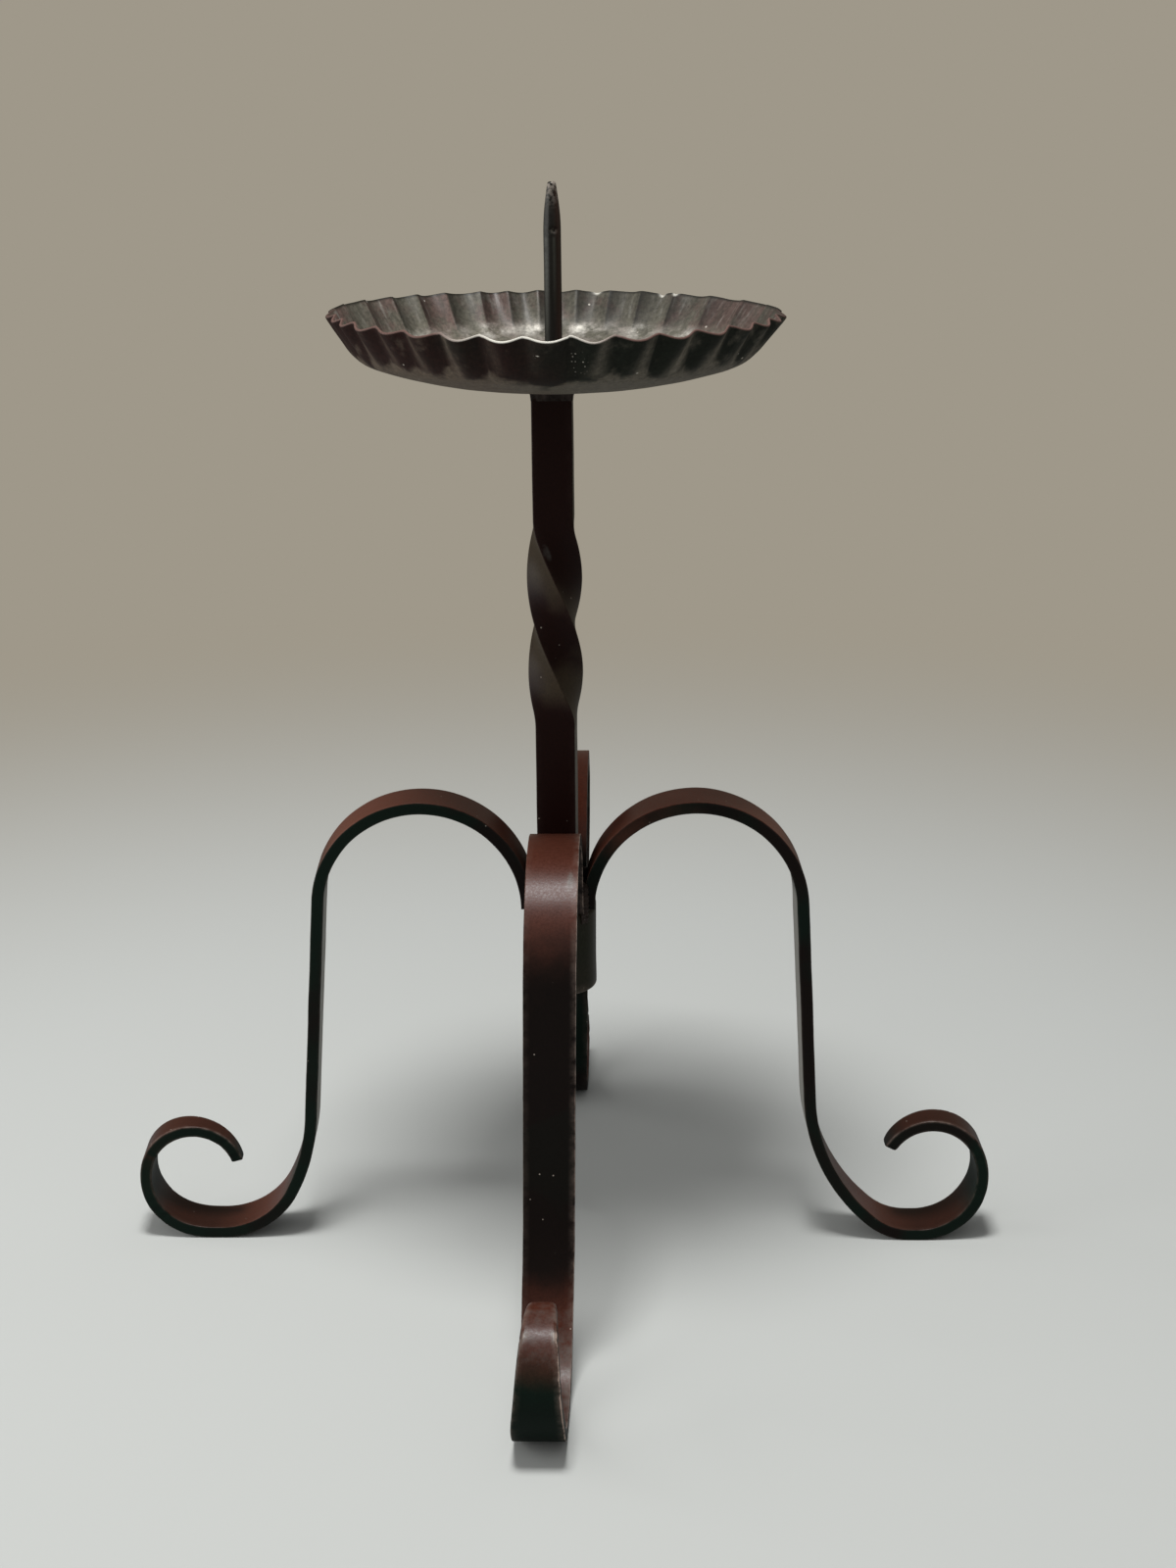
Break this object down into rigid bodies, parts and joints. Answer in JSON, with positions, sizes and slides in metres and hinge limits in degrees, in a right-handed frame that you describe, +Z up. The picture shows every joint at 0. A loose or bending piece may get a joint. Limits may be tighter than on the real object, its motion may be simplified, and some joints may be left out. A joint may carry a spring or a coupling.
{
  "type": "pricket candlestick",
  "caption": "Free-standing wrought iron candlestick: twisted square stem on scrolled flat-bar legs, with a fluted drip pan and a spike that holds a pillar candle.",
  "frame": {"origin": "on the floor, under the middle of the stem", "axes": "+Z up along the stem, -Y towards the front leg, +X towards the right leg as seen from the front"},
  "size_m": [0.3656, 0.3651, 0.4435],
  "materials": {
    "stem_iron": "satin dark red-brown oxide paint",
    "pan_iron": "satin dark paint, brushed on and worn",
    "leg_iron": "satin red-brown oxide paint, worn at the edges",
    "spike_iron": "dark bare iron",
    "weld_iron": "painted weld metal"
  },
  "bodies": {
    "root": {"twisted_stem": "stem_iron", "hub_collar": "stem_iron", "drip_pan": "pan_iron", "pricket_spike": "spike_iron", "leg_right": "leg_iron", "leg_rear": "leg_iron", "leg_left": "leg_iron", "leg_front": "leg_iron", "hub_weld_right_rear": "weld_iron", "hub_weld_rear_left": "weld_iron", "hub_weld_left_front": "weld_iron", "hub_weld_front_right": "weld_iron", "pan_weld": "weld_iron", "spike_weld": "weld_iron", "collar_plug_weld": "weld_iron"}
  },
  "joints": []
}
